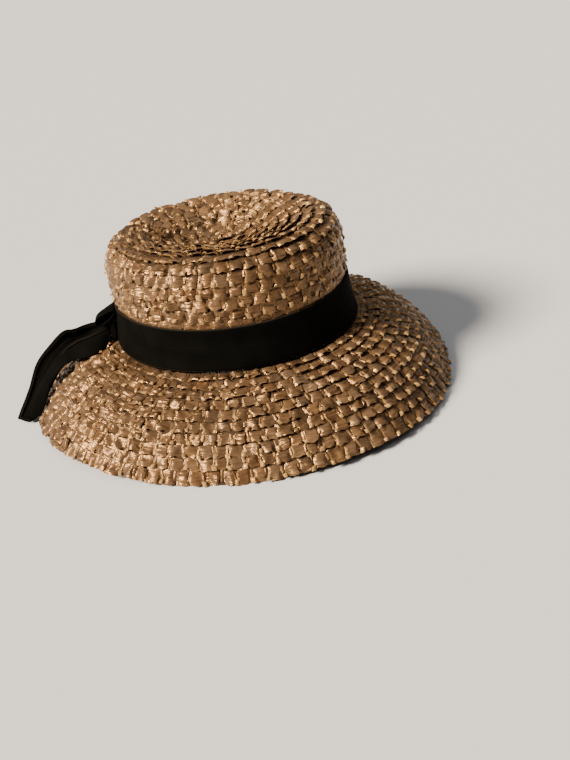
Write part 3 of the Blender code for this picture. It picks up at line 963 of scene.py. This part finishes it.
def tail_points(table, bow, brim, form, velvet):
    """Rows of points over a ribbon's end, and its length along the middle."""
    off_brim = 0.0009
    start = velvet.knot_depth + form.gap
    edges = []
    for row in table:
        pair = []
        for out, side, height in (row[:3], row[3:]):
            place = bow.place(start + out * form.brim_width, side * velvet.ribbon_width)
            place.z = brim_height(brim, place) + off_brim + height * velvet.ribbon_width
            pair.extend(place)
        edges.append(pair)
    sections = smooth_rows(edges, 8)
    top, bottom = sections[:, :3], sections[:, 3:]
    middle = (top + bottom) / 2
    along = np.gradient(middle, axis=0)
    along[0] = np.array(bow.out) * np.linalg.norm(along[0])
    face = np.cross(along, top - bottom)
    face /= np.linalg.norm(face, axis=1, keepdims=True)
    face *= np.sign(face @ np.array(bow.side))[:, None]
    steps = 41
    rows = []
    for place in range(len(sections)):
        width = np.linalg.norm(top[place] - bottom[place])
        # The pleat is shallow at the knot and full a quarter of the way out.
        grown = min(1.0, 0.35 + 2.5 * place / len(sections))
        share, off = pleated(width, velvet.pleat_depth * grown, velvet.ribbon_width, steps)
        line = bottom[place] + share[:, None] * (top[place] - bottom[place])
        rows.append(line + off[:, None] * face[place])
    length = np.linalg.norm(np.diff(middle, axis=0), axis=1).sum()
    points = np.array(rows)
    points[..., 2] = np.maximum(points[..., 2], CLOTH_GAP)
    return points, length


class HAT_OT_band(bpy.types.Operator):
    """Wraps the velvet band round the crown's foot"""

    bl_idname = "hat.band"
    bl_label = "Wrap the Band"

    OFF_BRIM = 0.0006
    # Each row is a set of wrinkles: depth, times round the band, lean.
    WRINKLES = ((0.00018, 5, 9), (0.00012, 17, 3))
    LONG_CREASE = 0.00030
    EDGES_DRAW_IN = 0.0004

    def execute(self, context):
        form, _, velvet, _ = settings()
        crown = Surface(form, "crown")
        turns = 360
        columns = 17
        angle = np.linspace(0.0, 2 * math.pi, turns + 1)[:, None] + math.pi
        share = np.linspace(0.0, 1.0, columns)[None, :]
        lift = velvet.ribbon_width * share + self.OFF_BRIM
        rows = np.interp(lift, crown.columns[1] - crown.columns[1][0], crown.lengths)
        angle, length = np.broadcast_arrays(angle, rows)
        base = crown.points(angle, length)
        out = crown.normals(angle, length)
        off = velvet.band_stand + velvet.cloth / 2
        ripple = sum(deep * np.sin(times * angle + lean * share) for deep, times, lean in self.WRINKLES)
        crease_place = 0.46 + 0.05 * np.sin(2 * angle)
        ripple = ripple + self.LONG_CREASE * np.exp(-((share - crease_place) / 0.05) ** 2)
        ripple = ripple - self.EDGES_DRAW_IN * (2 * share - 1) ** 8
        points = base + out * (off + ripple)[..., None]
        piece = ribbon_piece("velvet_band", points, velvet.cloth, velvet, "hatband")
        length = np.linalg.norm(np.diff(points[:, columns // 2], axis=0), axis=1).sum()
        return {"FINISHED"}


class HAT_OT_knot(bpy.types.Operator):
    """Ties the pleated knot at the back, close against the band"""

    bl_idname = "hat.knot"
    bl_label = "Tie the Knot"

    # Shares of the knot's width: its half reach, and its shift to the side.
    HALF_REACH = 0.6
    SHIFT = 0.08
    # How much narrower its waist is, and how square its section: 1 is an oval, less is squarer.
    PINCH = 0.10
    SQUARENESS = 0.55

    def execute(self, context):
        form, _, velvet, _ = settings()
        bow = BowPlace(form, velvet)
        turns = 40
        steps = 48
        around = np.linspace(0.0, 2 * math.pi, turns, endpoint=False)[None, :]
        side = np.linspace(-1.0, 1.0, steps)[:, None]
        round_off = (1 - abs(side) ** 5.0) ** 0.5
        pinch = 1 - self.PINCH * np.cos(math.pi * side / 2)
        rise = np.sign(np.sin(around)) * abs(np.sin(around)) ** self.SQUARENESS
        depth = np.sign(np.cos(around)) * abs(np.cos(around)) ** self.SQUARENESS
        pleat = 1 + 0.07 * np.sin(14 * side + 0.8 * np.sin(2 * around)) + 0.04 * np.sin(29 * side)
        across = velvet.knot_width * (self.HALF_REACH * side - self.SHIFT)
        out = velvet.knot_depth * (1 + depth) / 2 * round_off * pleat - across ** 2 / (2 * bow.radius)
        up = velvet.knot_height / 2 * (1 + rise * (0.35 + 0.65 * round_off) * pinch) + form.gap
        out = out - drawn_in(form, up) * (1 - depth) / 2
        points = bow.grid(out, across, up)
        index = np.arange(steps * turns).reshape(steps, turns)
        quads = cells(np.concatenate([index, index[:, :1]], 1))
        piece = mesh_piece("velvet_knot", points, quads, np.zeros(index.size))
        velvet_finish(piece, velvet, "bow_knot")
        return {"FINISHED"}


class HAT_OT_loop(bpy.types.Operator):
    """Folds the short loop that droops over the knot"""

    bl_idname = "hat.loop"
    bl_label = "Fold the Loop"

    PLEAT = 0.0007
    # How open the loop is at its far side, as a share of its near side.
    FAR_OPENING = 0.12
    # The gathered loop's cloth as a share of the ribbon's.
    THINNED = 0.8

    def execute(self, context):
        form, _, velvet, _ = settings()
        bow = BowPlace(form, velvet)
        turns = 48
        columns = 33
        angle = np.linspace(0.0, 2 * math.pi, turns, endpoint=False)
        along = velvet.loop_depth * (1 - np.cos(angle)) / 2
        spread = velvet.loop_height / 2 * np.sin(angle) * (0.5 + 0.5 * along / velvet.loop_depth)
        opened = np.linspace(self.FAR_OPENING, 1.0, columns)[:, None]
        droop = velvet.loop_droop
        out = along * math.cos(droop) + spread * opened * math.sin(droop)
        rise = spread * opened * math.cos(droop) - along * math.sin(droop)
        start = form.gap + velvet.cloth
        top = velvet.knot_height + velvet.loop_height / 12
        out = out - drawn_in(form, top) * (1 - along / velvet.loop_depth)
        share, off = pleated(velvet.loop_width, self.PLEAT, velvet.ribbon_width, columns)
        tangent = np.gradient(np.stack([out[-1], rise[-1]], -1), axis=0)
        normal = np.stack([tangent[:, 1], -tangent[:, 0]], -1)
        normal /= np.linalg.norm(normal, axis=1, keepdims=True)
        away = start + out.T + normal[:, :1] * off
        height = top + rise.T + normal[:, 1:] * off
        points = bow.grid(away, (share - 0.5) * velvet.loop_width, height)
        points = np.concatenate([points, points[:1]])
        piece = ribbon_piece("velvet_loop", points, velvet.cloth * self.THINNED, velvet, "bow_loop")
        return {"FINISHED"}


class HAT_OT_tails(bpy.types.Operator):
    """Lays the ribbon's two pleated ends over the brim"""

    bl_idname = "hat.tails"
    bl_label = "Lay the Ribbon Ends"

    def execute(self, context):
        form, _, velvet, _ = settings()
        bow = BowPlace(form, velvet)
        brim = Surface(form, "brim")
        for name, table in (("tail_far", FAR_TAIL), ("tail_near", NEAR_TAIL)):
            points, length = tail_points(table, bow, brim, form, velvet)
            tail = ribbon_piece("velvet_" + name, points, velvet.cloth, velvet, name)
        return {"FINISHED"}


class HAT_OT_stage(bpy.types.Operator):
    """Sets the floor, the lamps and the camera"""

    bl_idname = "hat.stage"
    bl_label = "Set the Stage"

    def execute(self, context):
        _, _, _, look = settings()
        scene = context.scene
        floor_mesh = bpy.data.meshes.new("floor")
        half = look.floor_size / 2
        corners = [(-half, -half, 0.0), (half, -half, 0.0), (half, half, 0.0), (-half, half, 0.0)]
        floor_mesh.from_pydata(corners, [], [(0, 1, 2, 3)])
        floor = bpy.data.objects.new("floor", floor_mesh)
        scene.collection.objects.link(floor)
        paper = Recipe(bpy.data.materials.new("floor_paper"))
        paper.set(Base_Color=opaque(look.floor_colour), Roughness=0.9, Specular_IOR_Level=0.2)
        floor_mesh.materials.append(paper.owner)
        air = Recipe(bpy.data.worlds.new("studio_air"), "Background")
        direction = air.node("ShaderNodeTexCoord", {}, {}, 0)
        rise = air.node("ShaderNodeSeparateXYZ", {}, {0: direction}, 2)
        overhead = opaque(look.air_power * channel for channel in look.air_colour)
        air.set(Color=air.mix(air.span(rise, 0.10, 0.16), opaque(look.wall_colour), overhead), Strength=1.0)
        scene.world = air.owner
        key_place = self.towards(look.key_turn, look.key_rise)
        self.lamp(scene, "key_light", key_place, look.key_power, look.key_spread, look.key_colour)
        self.lamp(scene, "top_light", UPWARD, look.top_power, look.top_spread, look.air_colour)
        self.camera(scene, look)
        return {"FINISHED"}

    def towards(self, turn, rise):
        """The direction at a turn from the hat's front and a height over the level."""
        return Vector((math.sin(turn) * math.cos(rise), -math.cos(turn) * math.cos(rise), math.sin(rise)))

    def lamp(self, scene, name, place, power, spread, colour):
        data = bpy.data.lights.new(name, "SUN")
        data.energy = power
        data.angle = spread
        data.color = tuple(colour)
        light = bpy.data.objects.new(name, data)
        light.location = place
        light.rotation_mode = "QUATERNION"
        light.rotation_quaternion = place.to_track_quat("Z", "Y")
        scene.collection.objects.link(light)

    def camera(self, scene, look):
        form = settings()[0]
        back = self.towards(look.azimuth, look.elevation)
        level = (-back).cross(UPWARD).normalized()
        above = level.cross(-back)
        right = level * math.cos(look.roll) - above * math.sin(look.roll)
        up = level * math.sin(look.roll) + above * math.cos(look.roll)
        middle = Vector((AXIS.x, AXIS.y, rim_level(form)))
        data = bpy.data.cameras.new("photo_camera")
        data.lens = look.lens
        data.sensor_width = 36.0
        camera = bpy.data.objects.new("photo_camera", data)
        place = middle + back * look.distance + right * look.slide_right + up * look.slide_up
        turned = Matrix((right, up, back)).transposed().to_4x4()
        camera.matrix_world = Matrix.Translation(place) @ turned
        scene.collection.objects.link(camera)
        scene.camera = camera


class HAT_PT_panel(bpy.types.Panel):
    """The hat's sizes and colours, and a button for each step"""

    bl_label = "Straw Hat"
    bl_idname = "HAT_PT_panel"
    bl_space_type = "VIEW_3D"
    bl_region_type = "UI"
    bl_category = "Straw Hat"

    def draw(self, context):
        for group in settings():
            box = self.layout.box()
            for name in group.__annotations__:
                box.prop(group, name)
        for operator in OPERATORS:
            self.layout.operator(operator.bl_idname)


GROUPS = {"hat_form": HatForm, "hat_straw": StrawLook, "hat_velvet": VelvetLook, "hat_stage": StageLook}
OPERATORS = (HAT_OT_brim, HAT_OT_crown, HAT_OT_band, HAT_OT_knot, HAT_OT_loop, HAT_OT_tails, HAT_OT_stage)


def register():
    for kind in (*GROUPS.values(), *OPERATORS, HAT_PT_panel):
        bpy.utils.register_class(kind)
    for name, kind in GROUPS.items():
        setattr(bpy.types.Scene, name, bpy.props.PointerProperty(type=kind))


def unregister():
    for name in GROUPS:
        delattr(bpy.types.Scene, name)
    for kind in (HAT_PT_panel, *reversed(OPERATORS), *reversed(GROUPS.values())):
        bpy.utils.unregister_class(kind)


def main():
    register()
    bpy.ops.hat.brim()
    bpy.ops.hat.crown()
    bpy.ops.hat.band()
    bpy.ops.hat.knot()
    bpy.ops.hat.loop()
    bpy.ops.hat.tails()
    bpy.ops.hat.stage()


if __name__ == "__main__":
    main()
